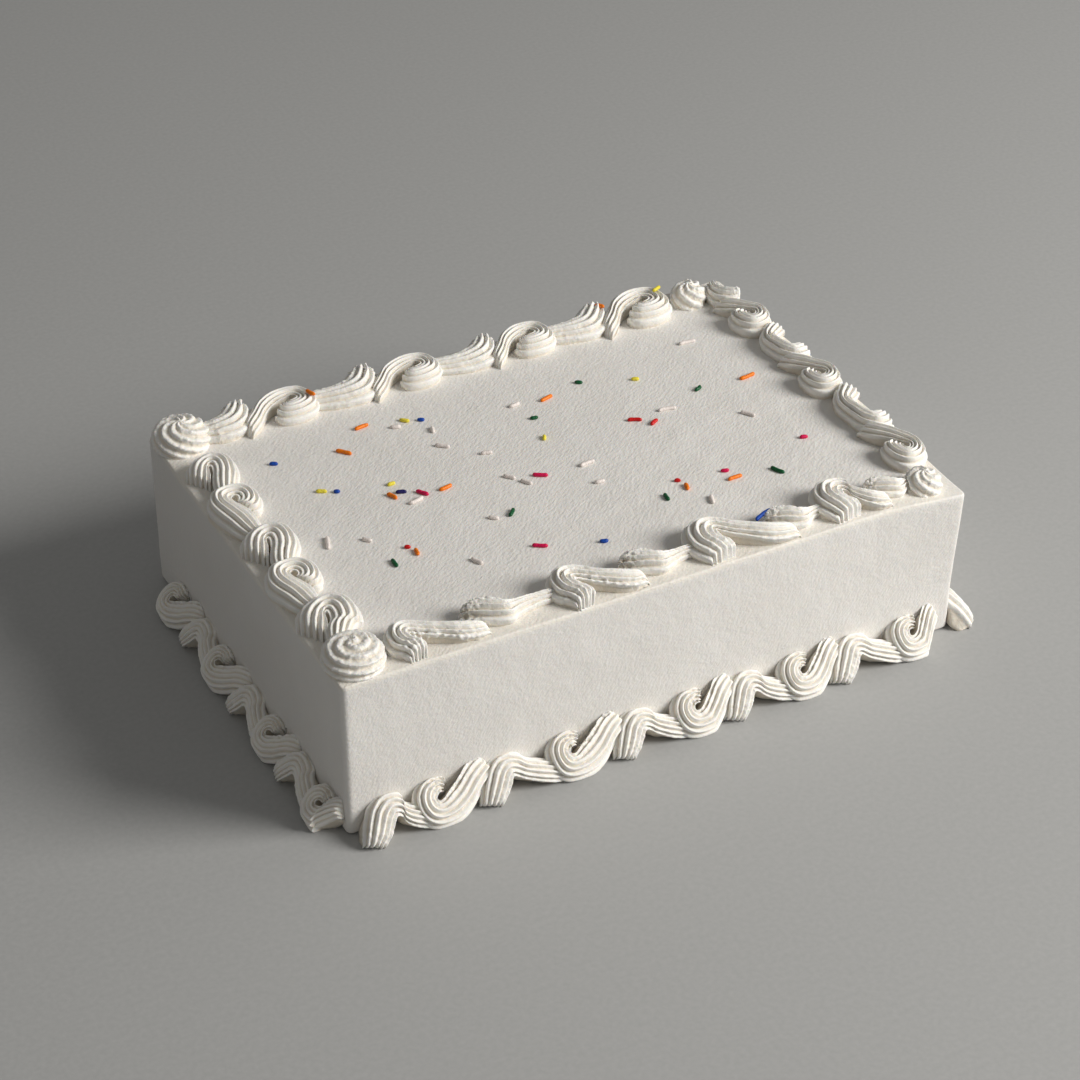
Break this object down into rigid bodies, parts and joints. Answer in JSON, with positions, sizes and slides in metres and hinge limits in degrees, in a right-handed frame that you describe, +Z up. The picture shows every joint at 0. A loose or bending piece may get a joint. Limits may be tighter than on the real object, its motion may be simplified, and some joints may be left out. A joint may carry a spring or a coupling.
{
  "type": "sheet cake",
  "caption": "Rectangular iced sheet cake with a piped scroll border round its top and foot, and coloured sugar sprinkles scattered on top.",
  "frame": {"origin": "middle of the cake's footprint, on the surface it stands on", "axes": "+X along the long side, +Y from the front to the back, +Z up"},
  "size_m": [0.3354, 0.242, 0.0923],
  "materials": {
    "icing_coat": "matt white buttercream, spread smooth",
    "piped_icing": "soft white buttercream, piped through a star nozzle"
  },
  "bodies": {
    "root": {"iced_cake": "icing_coat", "top_run_left": "piped_icing", "top_run_front": "piped_icing", "top_run_right": "piped_icing", "top_run_back": "piped_icing", "bottom_run_left": "piped_icing", "bottom_run_front": "piped_icing", "bottom_run_right": "piped_icing", "bottom_run_back": "piped_icing"}
  },
  "joints": []
}
